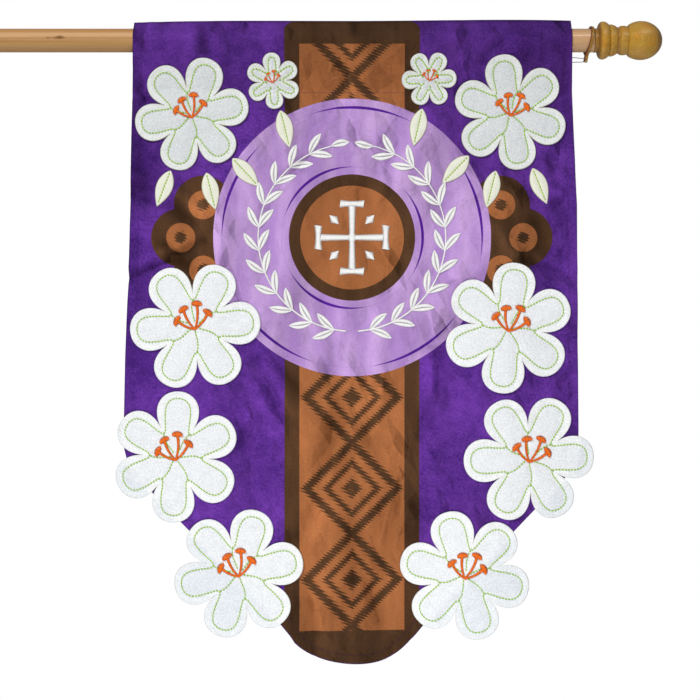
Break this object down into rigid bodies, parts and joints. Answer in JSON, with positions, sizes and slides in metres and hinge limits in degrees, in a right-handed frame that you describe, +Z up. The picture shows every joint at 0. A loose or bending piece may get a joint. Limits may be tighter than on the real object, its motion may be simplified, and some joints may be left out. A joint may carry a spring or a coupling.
{
  "type": "church banner with felt blossoms, hung on a wooden pole",
  "caption": "Rounded-foot cloth banner with sewn felt blossoms and satin leaves, hung by its sleeve from a wooden pole with a turned finial and a clip ring.",
  "frame": {"origin": "centre of the pole's butt end face", "axes": "+X along the pole towards the finial, +Z up, the banner's front faces -Y"},
  "size_m": [1.2191, 0.0614, 1.0315],
  "materials": {
    "banner_cloth": "printed woven polyester, soft sheen",
    "white_felt": "matte felt with green running stitch",
    "cream_satin": "satin cloth",
    "stitch_thread": "embroidery thread",
    "pole_wood": "clear varnish",
    "finial_wood": "golden varnish",
    "ring_plastic": "satin",
    "wire_steel": "drawn wire",
    "tab_webbing": "woven tape"
  },
  "bodies": {
    "root": {"banner_cloth": "banner_cloth", "blossom_left_corner": "white_felt", "blossom_left_bud": "white_felt", "blossom_left_upper": "white_felt", "blossom_left_side": "white_felt", "blossom_left_foot": "white_felt", "blossom_right_corner": "white_felt", "blossom_right_bud": "white_felt", "blossom_right_upper": "white_felt", "blossom_right_side": "white_felt", "blossom_right_foot": "white_felt", "leaf_left_inner": "cream_satin", "leaf_left_middle": "cream_satin", "leaf_left_outer": "cream_satin", "leaf_left_bud": "cream_satin", "leaf_right_inner": "cream_satin", "leaf_right_middle": "cream_satin", "leaf_right_outer": "cream_satin", "leaf_right_bud": "cream_satin", "pole": "pole_wood", "finial": "finial_wood", "clip_ring": "ring_plastic", "clip_wire": "wire_steel", "leash_tab": "tab_webbing"}
  },
  "joints": []
}
